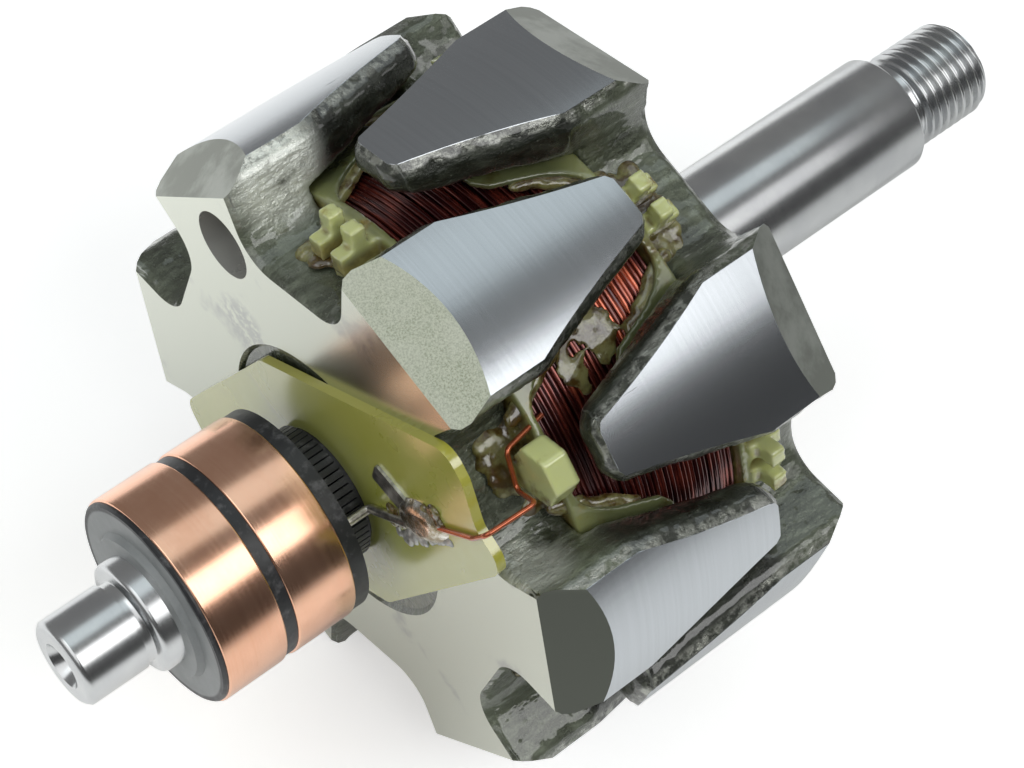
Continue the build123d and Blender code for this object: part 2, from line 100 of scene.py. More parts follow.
class Paint:
    """A material's node tree, with short calls for the nodes that the finishes use."""

    def __init__(self, name):
        self.material = bpy.data.materials.new(name)
        self.material.use_nodes = True
        self.tree = self.material.node_tree
        self.shader = self.tree.nodes["Principled BSDF"]
        coordinates = self.tree.nodes.new("ShaderNodeTexCoord")
        self.place = coordinates.outputs["Object"]
        self.facing = coordinates.outputs["Normal"]

    def feed(self, socket, value):
        """Link a socket to a socket, or set it to a constant."""
        if isinstance(value, bpy.types.NodeSocket):
            self.tree.links.new(value, socket)
        elif value is not None:
            socket.default_value = value

    def set(self, **values):
        """Set the shader's inputs, with _ for a space in a name."""
        for name, value in values.items():
            self.feed(self.shader.inputs[name.replace("_", " ")], value)

    def node(self, kind, *values, **settings):
        """A new node with its settings, and its first inputs fed in order."""
        node = self.tree.nodes.new(kind)
        for name, value in settings.items():
            setattr(node, name, value)
        for socket, value in zip(node.inputs, values):
            self.feed(socket, value)
        return node

    def math(self, operation, first, second=None):
        """Sum, product or another operation on one or two numbers."""
        return self.node("ShaderNodeMath", first, second, operation=operation).outputs[0]

    def parts(self, vector):
        """The x, y and z of a vector."""
        return self.node("ShaderNodeSeparateXYZ", vector).outputs

    def stretched(self, x, y, z):
        """The place, scaled differently along each axis."""
        node = self.node("ShaderNodeVectorMath", self.place, operation="MULTIPLY")
        node.inputs[1].default_value = (x, y, z)
        return node.outputs[0]

    def diagonal(self, first, second):
        """Length of the diagonal over two lengths that are square to each other."""
        first_square = self.math("MULTIPLY", first, first)
        second_square = self.math("MULTIPLY", second, second)
        return self.math("SQRT", self.math("ADD", first_square, second_square))

    def radius(self):
        """Distance from the shaft's axis."""
        _, y, z = self.parts(self.place)
        return self.diagonal(y, z)

    def to_end(self):
        """Distance along the shaft to the nearer pole's outer face."""
        x, _, _ = self.parts(self.place)
        return self.math("MINIMUM", self.math("SUBTRACT", x, front_face), self.math("MULTIPLY", x, -1.0))

    def near(self, x, y, z, outer, inner):
        """Mask round a point given in millimetres: 1 within the inner distance, 0 past the outer."""
        away = self.node("ShaderNodeVectorMath", self.place, operation="DISTANCE")
        away.inputs[1].default_value = (x * MM, y * MM, z * MM)
        return self.ramp(away.outputs[1], outer * MM, inner * MM)

    def lean(self, angle):
        """How far a place lies out from the shaft in the direction of an angle."""
        _, y, z = self.parts(self.place)
        towards = radial(angle)
        return self.math("ADD", self.math("MULTIPLY", y, towards.y), self.math("MULTIPLY", z, towards.z))

    def noise(self, scale, detail=3.0, rough=0.55, vector=None):
        """Cloudy pattern between 0 and 1."""
        node = self.tree.nodes.new("ShaderNodeTexNoise")
        self.feed(node.inputs["Vector"], vector or self.place)
        node.inputs["Scale"].default_value = scale
        node.inputs["Detail"].default_value = detail
        node.inputs["Roughness"].default_value = rough
        return node.outputs[0]

    def ramp(self, value, low, high, bottom=0.0, top=1.0):
        """Smooth step from bottom to top while the value goes from low to high."""
        node = self.tree.nodes.new("ShaderNodeMapRange")
        node.interpolation_type = "SMOOTHSTEP"
        for socket, item in zip(node.inputs, (value, low, high, bottom, top)):
            self.feed(socket, item)
        return node.outputs[0]

    def mix(self, share, first, second):
        """Mix two colours."""
        node = self.tree.nodes.new("ShaderNodeMix")
        node.data_type = "RGBA"
        self.feed(node.inputs[0], share)
        self.feed(node.inputs[6], (*first, 1) if isinstance(first, tuple) else first)
        self.feed(node.inputs[7], (*second, 1) if isinstance(second, tuple) else second)
        return node.outputs[2]

    def blend(self, kind, share, first, second):
        """Mix two numbers or two vectors; kind is FLOAT or VECTOR."""
        node = self.tree.nodes.new("ShaderNodeMix")
        node.data_type = kind
        place = 2 if kind == "FLOAT" else 4
        self.feed(node.inputs[0], share)
        self.feed(node.inputs[place], first)
        self.feed(node.inputs[place + 1], second)
        return node.outputs[0 if kind == "FLOAT" else 1]

    def bump(self, height, strength, distance):
        """Surface direction roughened by a height."""
        node = self.tree.nodes.new("ShaderNodeBump")
        node.inputs["Strength"].default_value = strength
        node.inputs["Distance"].default_value = distance
        self.feed(node.inputs["Height"], height)
        return node.outputs[0]


def ground_steel():
    """Shaft: ground bright steel with fine turning marks."""
    paint = Paint("ground_steel")
    marks = paint.noise(1.0, 3.0, vector=paint.stretched(3800, 25, 25))
    stains = paint.noise(150, 4.0)
    paint.set(
        Base_Color=paint.mix(paint.ramp(stains, 0.3, 0.75), (0.54, 0.55, 0.56), (0.62, 0.63, 0.63)),
        Metallic=1.0,
        Roughness=paint.ramp(marks, 0.3, 0.7, 0.23, 0.26),
        Normal=paint.bump(marks, 0.03, 0.02 * MM),
    )
    return paint.material


def pole_masks(paint):
    """Masks of a pole's machined faces, its rim facets and the balance drilling."""
    x, y, z = paint.parts(paint.place)
    face_x, _, _ = paint.parts(paint.facing)
    tilt = paint.math("ABSOLUTE", face_x)
    radius = paint.radius()
    near_front = paint.ramp(x, front_face + drill_depth, front_face + drill_depth - 1.0 * MM)

    on_claw = paint.ramp(radius, pole_radius - 0.09 * MM, pole_radius - 0.03 * MM)
    flat = paint.ramp(tilt, 0.93, 0.985)
    on_front = paint.math("MULTIPLY", flat, paint.ramp(x, front_face + 0.5 * MM, front_face + 0.3 * MM))
    on_back = paint.math("MULTIPLY", flat, paint.ramp(x, -0.5 * MM, -0.3 * MM))
    on_face = paint.math("MAXIMUM", on_front, on_back)
    off_facet = paint.math("ABSOLUTE", paint.math("SUBTRACT", tilt, facet_lean))
    rim = paint.ramp(radius, 40.0 * MM, 40.8 * MM)
    on_facet = paint.math("MULTIPLY", paint.ramp(off_facet, 0.05, 0.02), rim)

    from_drill = paint.diagonal(paint.math("SUBTRACT", y, drill_y), paint.math("SUBTRACT", z, drill_z))
    in_drill = paint.ramp(from_drill, 5.1 * MM, 4.9 * MM)

    # Two rim facets for painted light: the one towards front_angle paler over its fine grain, the next one
    # round darker as painted shade.
    facet_start, facet_end = 30.0 * MM, 36.0 * MM
    sandy_painted_light = paint.ramp(paint.lean(front_angle), facet_start, facet_end)
    painted_shade_facet = paint.ramp(paint.lean(front_angle + claw_pitch), facet_start, facet_end)
    return {
        "face": on_face,
        "facet": on_facet,
        "machined": paint.math("MAXIMUM", paint.math("MAXIMUM", on_claw, on_face), on_facet),
        "drilled": paint.math("MULTIPLY", in_drill, near_front),
        "sandy_painted_light": paint.math("MULTIPLY", sandy_painted_light, near_front),
        "painted_shade_facet": paint.math("MULTIPLY", painted_shade_facet, near_front),
    }


def forged_colour(paint, masks, blotch, grit, lumps, streaks):
    """Colour and metal share of the forging: dark flanks, paler walls, corners paler with wear and a
    painted highlight, and painted highlights on two notch walls, on pale streaks and along the claws'
    edges.
    """
    plate = paint.ramp(paint.to_end(), 13.5 * MM, 9.5 * MM)
    cloud = paint.ramp(blotch, 0.3, 0.72)
    flank = paint.mix(cloud, (0.010, 0.012, 0.008), (0.031, 0.035, 0.024))
    wall = paint.mix(cloud, (0.036, 0.042, 0.025), (0.13, 0.15, 0.10))
    moss = paint.mix(plate, flank, wall)
    # Painted highlight: pale streaks along the forging's comb marks.
    combed_highlight = paint.math("MULTIPLY", paint.ramp(streaks, 0.42, 0.86), paint.ramp(plate, 0.0, 1.0, 0.3, 1.0))
    moss = paint.mix(combed_highlight, moss, (0.23, 0.26, 0.19))
    specks = paint.math("MULTIPLY", paint.ramp(grit, 0.60, 0.76), paint.ramp(plate, 0.0, 1.0, 0.5, 1.0))
    moss = paint.mix(specks, moss, (0.32, 0.34, 0.28))

    # Painted highlight: two notch walls made nearly white where a varnish reflection stands.
    first_wall_highlight = paint.near(-41.0, 20.6, 36.4, 9.0, 3.5)
    second_wall_highlight = paint.math("MULTIPLY", paint.near(-45.3, -33.0, 19.0, 6.5, 2.0), 0.6)
    painted_wall_highlight = paint.math("MAXIMUM", first_wall_highlight, second_wall_highlight)
    painted_wall_highlight = paint.math("MULTIPLY", painted_wall_highlight, paint.ramp(blotch, 0.27, 0.43))
    moss = paint.mix(painted_wall_highlight, moss, (0.80, 0.83, 0.75))

    # Painted highlight: a pale, more metallic band along the claws' outer edges.
    painted_edge_highlight = paint.ramp(paint.radius(), 43.6 * MM, 44.2 * MM)
    painted_edge_highlight = paint.math("MULTIPLY", painted_edge_highlight, paint.ramp(lumps, 0.42, 0.6))
    moss = paint.mix(painted_edge_highlight, moss, (0.33, 0.34, 0.30))
    # Convex edges made paler: partly wear, partly a painted highlight along the edges.
    curve = paint.node("ShaderNodeNewGeometry").outputs["Pointiness"]
    worn_edge_and_highlight = paint.math("MULTIPLY", paint.ramp(curve, 0.57, 0.64), paint.ramp(lumps, 0.35, 0.55))
    moss = paint.mix(worn_edge_and_highlight, moss, (0.50, 0.51, 0.46))
    moss = paint.mix(masks["drilled"], moss, (0.50, 0.50, 0.47))
    return moss, paint.math("MAXIMUM", painted_edge_highlight, paint.ramp(plate, 0.0, 1.0, 0.25, 0.4))


def machined_colour(paint, masks, blotch, lumps, lathe, facet_grain):
    """Colour of the ground claws, the turned faces and the rim facets, one of them paler as painted light
    and the next one darker as painted shade.
    """
    ground = paint.mix(lathe, (0.43, 0.455, 0.475), (0.51, 0.535, 0.56))
    stained = paint.ramp(paint.noise(70, 4.0, 0.6), 0.57, 0.68)
    bruised = paint.math("MULTIPLY", paint.near(-48.3, 18.4, 12.9, 6.0, 3.0), paint.ramp(lumps, 0.4, 0.55))
    stained = paint.math("MAXIMUM", stained, bruised)
    faced = paint.mix(stained, (0.60, 0.62, 0.54), (0.45, 0.46, 0.43))
    # Rim facets: one with fine grain, painted paler as painted light; the next one round in painted shade.
    speckle = paint.ramp(facet_grain, 0.34, 0.6)
    lit_sand = paint.mix(speckle, (0.30, 0.33, 0.235), (0.55, 0.58, 0.465))
    lit_sand = paint.mix(paint.ramp(blotch, 0.62, 0.36, 0.0, 0.35), lit_sand, (0.62, 0.64, 0.55))
    plain = paint.mix(paint.ramp(blotch, 0.4, 0.65), (0.26, 0.275, 0.24), (0.42, 0.44, 0.40))
    plain = paint.mix(masks["painted_shade_facet"], plain, (0.088, 0.094, 0.080))
    facet = paint.mix(masks["sandy_painted_light"], plain, lit_sand)
    metal = paint.mix(masks["face"], ground, faced)
    return paint.mix(masks["facet"], metal, facet)


def pole_steel():
    """Claw poles: turned faces, ground claws, forged and varnished flanks."""
    paint = Paint("pole_steel")
    masks = pole_masks(paint)
    blotch = paint.noise(120, 5.0, 0.62)
    grit = paint.noise(1700, 4.0, 0.7)
    lumps = paint.noise(620, 4.0, 0.65)
    streaks = paint.noise(1.0, 4.0, 0.6, vector=paint.stretched(210, 780, 780))
    lathe = paint.noise(1.0, 3.0, vector=paint.stretched(2600, 30, 30))
    facet_grain = paint.noise(4300, 3.0, 0.8)
    forged, forged_metal = forged_colour(paint, masks, blotch, grit, lumps, streaks)
    machined = machined_colour(paint, masks, blotch, lumps, lathe, facet_grain)

    height = paint.math("ADD", paint.math("MULTIPLY", lumps, 0.5), paint.math("MULTIPLY", streaks, 0.7))
    height = paint.math("ADD", height, paint.math("MULTIPLY", grit, 0.3))
    rough = paint.bump(height, 0.9, 0.6 * MM)
    fine = paint.bump(lathe, 0.07, 0.02 * MM)
    sanded = paint.bump(facet_grain, 0.5, 0.06 * MM)
    sandy_painted_light_facet = paint.math("MULTIPLY", masks["facet"], masks["sandy_painted_light"])
    machined_normal = paint.blend("VECTOR", sandy_painted_light_facet, fine, sanded)

    gloss = paint.ramp(blotch, 0.35, 0.7, 0.22, 0.4)
    facet_gloss = paint.ramp(masks["sandy_painted_light"], 0.0, 1.0, 0.36, 0.6)
    polish = paint.blend("FLOAT", masks["facet"], 0.24, facet_gloss)
    metal_share = paint.math("SUBTRACT", 1.0, paint.math("MULTIPLY", sandy_painted_light_facet, 0.75))
    smooth_parts = paint.math("MAXIMUM", masks["machined"], masks["drilled"])
    paint.set(
        Base_Color=paint.mix(masks["machined"], forged, machined),
        Metallic=paint.blend("FLOAT", masks["machined"], forged_metal, metal_share),
        Roughness=paint.blend("FLOAT", masks["machined"], gloss, polish),
        Normal=paint.blend("VECTOR", smooth_parts, rough, machined_normal),
        Coat_Weight=paint.ramp(smooth_parts, 0.0, 1.0, 0.75, 0.0),
        Coat_Roughness=0.08,
        Coat_IOR=1.75,
    )
    return paint.material


def bobbin_nylon():
    """Bobbin: pale green plastic, with amber varnish in its corners and pools, and painted shade that
    darkens it past the lugs and deeper in under the claws.
    """
    paint = Paint("bobbin_nylon")
    pool = paint.noise(210, 4.0, 0.6)
    curve = paint.node("ShaderNodeNewGeometry").outputs["Pointiness"]
    corner = paint.ramp(curve, 0.5, 0.44)
    amber = paint.math("MAXIMUM", corner, paint.ramp(pool, 0.52, 0.7))
    low = paint.ramp(paint.radius(), 36.4 * MM, 34.6 * MM)
    amber = paint.math("MAXIMUM", amber, paint.math("MULTIPLY", low, 0.7))
    to_end = paint.to_end()
    # Painted shade: the nylon and its amber grow darker past the lugs and deeper in under the claws.
    flange = paint.ramp(to_end, 10.2 * MM, 11.2 * MM)
    inner = paint.ramp(to_end, 11.5 * MM, 15.5 * MM)
    tone = paint.mix(paint.ramp(paint.noise(500, 3.0), 0.4, 0.65), (0.13, 0.07, 0.010), (0.34, 0.26, 0.06))
    pale = paint.mix(flange, (0.58, 0.62, 0.28), (0.24, 0.26, 0.11))
    pale = paint.mix(inner, pale, (0.115, 0.13, 0.055))
    paint.set(
        Base_Color=paint.mix(amber, pale, paint.mix(inner, tone, (0.075, 0.066, 0.018))),
        Roughness=paint.ramp(pool, 0.3, 0.7, 0.26, 0.12),
        Normal=paint.bump(pool, 0.4, 0.4 * MM),
        Subsurface_Weight=paint.ramp(inner, 0.0, 1.0, 0.45, 0.1),
        Subsurface_Scale=2.0 * MM,
        Subsurface_Radius=(1.0, 0.95, 0.4),
        Coat_Weight=0.9,
        Coat_Roughness=0.05,
        Coat_IOR=1.65,
    )
    return paint.material


def amber_resin():
    """Impregnating resin: amber and olive, wet looking."""
    paint = Paint("amber_resin")
    cloud = paint.noise(330, 4.0, 0.6)
    ripple = paint.noise(900, 3.0, 0.6)
    paint.set(
        Base_Color=paint.mix(paint.ramp(cloud, 0.4, 0.62), (0.075, 0.045, 0.010), (0.24, 0.23, 0.09)),
        Roughness=0.12,
        Normal=paint.bump(ripple, 0.4, 0.35 * MM),
        Subsurface_Weight=0.35,
        Subsurface_Scale=1.2 * MM,
        Subsurface_Radius=(1.0, 0.7, 0.25),
        Coat_Weight=1.0,
        Coat_Roughness=0.02,
        Coat_IOR=1.6,
    )
    return paint.material


def winding_enamel():
    """Winding: dark red enamel over copper, with a painted highlight of bright orange strands beside one
    front claw.
    """
    paint = Paint("winding_enamel")
    tone = paint.noise(420, 3.0, vector=paint.stretched(3.0, 0.4, 0.4))
    strands = paint.noise(1.0, 2.0, vector=paint.stretched(900, 60, 60))
    # Painted highlight, not bare copper: bright orange strands in the gap beside one front claw.
    lower_highlight_spot = paint.near(-27.5, -20, 28.6, 3.2, 1.5)
    bare = paint.math("MAXIMUM", paint.near(-18.5, -16.8, 30.6, 6.5, 3.5), lower_highlight_spot)
    bare = paint.math("MULTIPLY", bare, paint.ramp(strands, 0.40, 0.58))
    dull = paint.mix(paint.ramp(tone, 0.4, 0.75), (0.06, 0.010, 0.011), (0.30, 0.055, 0.034))
    paint.set(
        Base_Color=paint.mix(bare, dull, (0.66, 0.15, 0.065)),
        Metallic=0.6,
        Roughness=0.2,
        Coat_Weight=0.8,
        Coat_Roughness=0.08,
    )
    return paint.material


def lead_enamel():
    """Coil lead: the same wire where light gets to it, redder and brighter."""
    paint = Paint("lead_enamel")
    tone = paint.noise(700, 2.0)
    paint.set(
        Base_Color=paint.mix(tone, (0.30, 0.045, 0.014), (0.66, 0.18, 0.06)),
        Metallic=0.7,
        Roughness=0.22,
        Coat_Weight=0.8,
        Coat_Roughness=0.08,
    )
    return paint.material


def ring_copper():
    """Slip rings: turned and polished copper."""
    paint = Paint("ring_copper")
    lathe = paint.noise(1.0, 3.0, vector=paint.stretched(4200, 20, 20))
    tarnish = paint.noise(120, 5.0, 0.6)
    colour = paint.mix(paint.ramp(tarnish, 0.3, 0.75), (0.86, 0.50, 0.34), (0.74, 0.38, 0.24))
    paint.set(
        Base_Color=paint.mix(paint.math("MULTIPLY", lathe, 0.5), colour, (0.92, 0.60, 0.44)),
        Metallic=1.0,
        Roughness=paint.ramp(lathe, 0.3, 0.7, 0.19, 0.23),
        Normal=paint.bump(lathe, 0.04, 0.02 * MM),
    )
    return paint.material


def black_moulding():
    """Slip-ring moulding: black plastic, grey where it is turned and scuffed."""
    paint = Paint("black_moulding")
    x, _, _ = paint.parts(paint.place)
    scuff = paint.noise(500, 4.0, 0.65)
    end = paint.ramp(x, moulding_end + 1.3 * MM, moulding_end + 1.0 * MM)
    edge = paint.ramp(paint.radius(), 13.6 * MM, 13.2 * MM)
    dust = paint.math("MULTIPLY", end, edge)
    dark = paint.mix(paint.ramp(scuff, 0.5, 0.75), (0.018, 0.019, 0.021), (0.10, 0.10, 0.105))
    paint.set(
        Base_Color=paint.mix(dust, dark, paint.mix(scuff, (0.22, 0.235, 0.24), (0.34, 0.355, 0.35))),
        Roughness=paint.ramp(scuff, 0.3, 0.7, 0.32, 0.5),
        Normal=paint.bump(scuff, 0.35, 0.15 * MM),
    )
    return paint.material


def board_laminate():
    """Terminal board: olive glass-fibre laminate, glossy, with a faint weave and yellow edges."""
    paint = Paint("board_laminate")
    weave = paint.node("ShaderNodeTexWave", paint.place)
    weave.inputs["Scale"].default_value = 420
    weave.inputs["Distortion"].default_value = 2.0
    cloud = paint.noise(55, 4.0)
    face_x, _, _ = paint.parts(paint.facing)
    side = paint.ramp(paint.math("ABSOLUTE", face_x), 0.8, 0.5)
    colour = paint.mix(paint.ramp(cloud, 0.35, 0.68), (0.43, 0.46, 0.065), (0.52, 0.54, 0.13))
    colour = paint.mix(paint.math("MULTIPLY", side, 0.8), colour, (0.46, 0.43, 0.05))
    paint.set(
        Base_Color=colour,
        Roughness=paint.ramp(cloud, 0.3, 0.7, 0.24, 0.32),
        IOR=1.9,
        Normal=paint.bump(weave.outputs[1], 0.04, 0.03 * MM),
        Coat_Weight=1.0,
        Coat_IOR=1.7,
        Coat_Roughness=0.18,
    )
    return paint.material


def dull_metal(name, dark, light, roughness, lumps):
    """Solder, tinned strips and bare wire ends."""
    paint = Paint(name)
    tone = paint.noise(lumps, 4.0, 0.6)
    paint.set(
        Base_Color=paint.mix(paint.ramp(tone, 0.35, 0.68), dark, light),
        Metallic=0.9,
        Roughness=roughness,
        Normal=paint.bump(tone, 0.4, 0.2 * MM),
    )
    return paint.material


finishes = {
    "ground_steel": ground_steel(),
    "pole_steel": pole_steel(),
    "hub_steel": dull_metal("hub_steel", (0.25, 0.25, 0.25), (0.4, 0.4, 0.4), 0.45, 400),
    "bobbin_nylon": bobbin_nylon(),
    "winding_copper": winding_enamel(),
    "ring_copper": ring_copper(),
    "black_moulding": black_moulding(),
    "board_laminate": board_laminate(),
    "tinned_strip": dull_metal("tinned_strip", (0.26, 0.26, 0.25), (0.62, 0.62, 0.60), 0.34, 600),
    "solder": dull_metal("solder", (0.30, 0.24, 0.14), (0.80, 0.79, 0.74), 0.2, 900),
    "conductor_copper": dull_metal("conductor", (0.32, 0.30, 0.27), (0.70, 0.68, 0.63), 0.28, 700),
}
lead_finish = lead_enamel()
resin_finish = amber_resin()
crust_finish = dull_metal("flux_crust", (0.34, 0.35, 0.34), (0.62, 0.63, 0.61), 0.55, 900)


def paint_node(name, material):
    """Give a CAD node a material through its own slots."""
    slots = frame["nodes"][name].data.materials
    if len(slots) == 0:
        slots.append(material)
    for index in range(len(slots)):
        slots[index] = material


for row in frame["record"]["subparts"]:
    is_lead = row["node"].startswith("coil_lead")
    paint_node(row["node"], lead_finish if is_lead else finishes[row["material_slot"]])


# Helpers for meshes


def add_piece(mesh, name, material, node_names=()):
    """Link a mesh as a piece of the rotor, which has one body."""
    piece = bpy.data.objects.new(name, mesh)
    bpy.context.scene.collection.objects.link(piece)
    mesh.materials.clear()
    mesh.materials.append(material)
    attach(piece, "root")
    if node_names:
        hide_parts(*node_names)


def smooth(mesh, sharp_angle=35.0):
    """Shade a mesh smooth, with hard edges where it turns sharply."""
    mesh.shade_smooth()
    mesh.set_sharp_from_angle(angle=math.radians(sharp_angle))


def with_modifiers(mesh, *recipes):
    """A new mesh with modifiers applied; each recipe is (kind, settings)."""
    carrier = bpy.data.objects.new("carrier", mesh)
    bpy.context.scene.collection.objects.link(carrier)
    for kind, settings in recipes:
        modifier = carrier.modifiers.new(kind, kind)
        for key, value in settings.items():
            setattr(modifier, key, value)
    graph = bpy.context.evaluated_depsgraph_get()
    result = bpy.data.meshes.new_from_object(carrier.evaluated_get(graph))
    bpy.data.objects.remove(carrier)
    return result


def lathe_mesh(name, profile, steps=192, radius_at=None):
    """Revolve (x, radius) points, in metres, about the shaft's axis."""
    vertices, faces, rows = [], [], []
    for x, radius in profile:
        if radius <= 0:
            rows.append([len(vertices)] * steps)
            vertices.append((x, 0, 0))
            continue
        rows.append(list(range(len(vertices), len(vertices) + steps)))
        for step in range(steps):
            turn = 2 * math.pi * step / steps
            reach = radius_at(x, radius, turn) if radius_at else radius
            vertices.append((x, reach * math.cos(turn), reach * math.sin(turn)))
    for lower, upper in zip(rows, rows[1:]):
        for step in range(steps):
            after = (step + 1) % steps
            corners = [lower[step], lower[after], upper[after], upper[step]]
            faces.append(list(dict.fromkeys(corners)))
    mesh = bpy.data.meshes.new(name)
    mesh.from_pydata(vertices, [], faces)
    outward = bmesh.new()
    outward.from_mesh(mesh)
    bmesh.ops.recalc_face_normals(outward, faces=outward.faces)
    outward.to_mesh(mesh)
    outward.free()
    return mesh


# Shaft with its rolled thread
thread_start = 50.0 * MM
thread_pitch = 1.5 * MM
thread_crest = 7.0 * MM
thread_root = 6.05 * MM
thread_depth = 0.93 * MM


def shaft_profile():
    """Shaft outline in metres, with close stations along the thread."""
    def at_end(*rows):
        return [(shaft_start + x * MM, radius * MM) for x, radius in rows]

    journal = at_end(
        (7.5, 0), (6.8, 1.3), (3.5, 1.3), (0, 3.2), (0, 4.9), (0.05, 5.3), (0.25, 5.62),
        (0.65, 5.98), (0.8, 6.0), (8.6, 6.0), (8.75, 5.56), (9.9, 5.56), (10.0, 5.7),
        (10.05, 7.0), (10.3, 7.5), (10.7, 7.7),
    )
    seat = [
        (front_face + 0.6 * MM, 7.7 * MM), (front_face + 0.6 * MM, 8.8 * MM),
        (-0.6 * MM, 8.8 * MM), (-0.6 * MM, 8.5 * MM),
        (47.3 * MM, 8.5 * MM), (47.8 * MM, 8.2 * MM), (47.95 * MM, 7.9 * MM),
        (47.95 * MM, 5.95 * MM), (49.8 * MM, 5.95 * MM), (49.95 * MM, 6.1 * MM),
    ]
    stations = 190
    reach = shaft_end - thread_start - 0.1 * MM
    thread = [(thread_start + reach * step / stations, thread_crest) for step in range(stations + 1)]
    end = [
        (shaft_end, 5.4 * MM), (shaft_end, 3.3 * MM), (shaft_end - 3.4 * MM, 1.3 * MM),
        (shaft_end - 6.8 * MM, 1.3 * MM), (shaft_end - 7.5 * MM, 0),
    ]
    return journal + seat + thread + end


def thread_radius(x, radius, turn):
    """Radius of the thread's flank at a place along and round the shaft."""
    first_x = thread_start - 0.04 * MM
    if x < first_x or radius < thread_crest - 0.1 * MM:
        return radius
    share = (x / thread_pitch - turn / (2 * math.pi)) % 1.0
    height = min(1.0, max(0.0, 0.5 - 0.62 * math.cos(2 * math.pi * share)))
    run_out = min(1.0, (x - first_x) / (0.8 * MM))
    lead_in = min(1.0, (shaft_end - x) / (1.4 * MM))
    start_depth = 0.05 * MM
    depth = start_depth + (thread_depth - start_depth) * min(run_out, lead_in)
    return thread_root + depth * height


shaft_mesh = lathe_mesh("shaft_turned", shaft_profile(), steps=160, radius_at=thread_radius)
smooth(shaft_mesh, 55)
add_piece(shaft_mesh, "shaft_turned", finishes["ground_steel"], ["shaft"])


# Slip rings: smooth turned copper
def slip_ring(name):
    """Copper ring with rounded edges, in the place of its CAD node."""
    low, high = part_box(name)
    wall, edge, corner_steps = 1.7 * MM, 0.3 * MM, 6
    radius, bore = high.y, high.y - wall
    profile = [(low.x, bore), (low.x, radius - edge)]
    for step in range(1, corner_steps):
        turn = math.pi / 2 * step / corner_steps
        profile.append((low.x + edge * (1 - math.cos(turn)), radius - edge * (1 - math.sin(turn))))
    profile.append((low.x + edge, radius))
    mirrored = [(low.x + high.x - x, reach) for x, reach in reversed(profile)]
    mesh = lathe_mesh(name + "_polished", profile + mirrored + [profile[0]], steps=256)
    smooth(mesh, 50)
    add_piece(mesh, name + "_polished", finishes["ring_copper"], [name])


slip_ring("outer_slip_ring")
slip_ring("inner_slip_ring")


# Claw poles: the same forms with forged, lumpy flanks and crisp machined faces

# Kinds of pole surface. INNER is the wall round the shaft, which stays as the part has it.
FORGED, GROUND, TURNED, FACET, DRILLED, INNER = range(6)

claw_skin = 0.35 * MM  # a claw's CAD facets lie at most this far under its curve
forged_lumps = ((260, 0.16), (800, 0.11), (2100, 0.05))  # noise scale, height in millimetres


def surface_kind(place, normal):
    """Kind of pole surface that a CAD point lies on."""
    radius = math.hypot(place.y, place.z)
    outward = (place.y * normal.y + place.z * normal.z) / radius
    if radius > pole_radius - claw_skin and outward > 0.985:
        return GROUND
    if abs(normal.x) > 0.97 and (place.x < front_face + 0.7 * MM or place.x > -0.7 * MM):
        return TURNED
    if abs(abs(normal.x) - facet_lean) < 0.03 and radius > 40.2 * MM:
        return FACET
    from_drill = math.hypot(place.y - drill_y, place.z - drill_z)
    if from_drill < 5.2 * MM and place.x < front_face + drill_depth:
        return DRILLED
    return INNER if radius < 31.0 * MM else FORGED


def face_kind(face):
    """Kind of pole surface that a mesh face belongs to."""
    return surface_kind(face.calc_center_median(), face.normal)


def divide_finely(work, longest):
    """Divide a pole's mesh until no edge is too long; smooth kinds keep larger triangles."""
    rounds, coarse_share = 9, 2.5
    for _ in range(rounds):
        bmesh.ops.triangulate(work, faces=[face for face in work.faces if len(face.verts) > 3])
        work.normal_update()
        limits = {}
        for face in work.faces:
            limits[face] = longest if face_kind(face) == FORGED else coarse_share * longest
        long_edges = []
        for edge in work.edges:
            if edge.calc_length() > min(limits[face] for face in edge.link_faces):
                long_edges.append(edge)
        if not long_edges:
            break
        bmesh.ops.subdivide_edges(work, edges=long_edges, cuts=1)
    bmesh.ops.triangulate(work, faces=work.faces)
    work.normal_update()


def round_claws(work, kinds):
    """Move the ground claws' points out to the pole's true radius."""
    for vertex in work.verts:
        if any(kinds[face] == GROUND for face in vertex.link_faces):
            radius = math.hypot(vertex.co.y, vertex.co.z)
            if radius > pole_radius - claw_skin:
                vertex.co.y *= pole_radius / radius
                vertex.co.z *= pole_radius / radius


def lump_share(work, free):
    """Share of the lumps that each point gets: full on the forging, fading towards other faces."""
    fade_rounds = 3
    share = {vertex: 0.0 for vertex in work.verts}
    for vertex in free:
        share[vertex] = 1.0
    for _ in range(fade_rounds):
        softer = {}
        for vertex in free:
            near = [share[edge.other_vert(vertex)] for edge in vertex.link_edges]
            softer[vertex] = 0.5 * share[vertex] + 0.5 * sum(near) / len(near)
        share.update(softer)
    return share


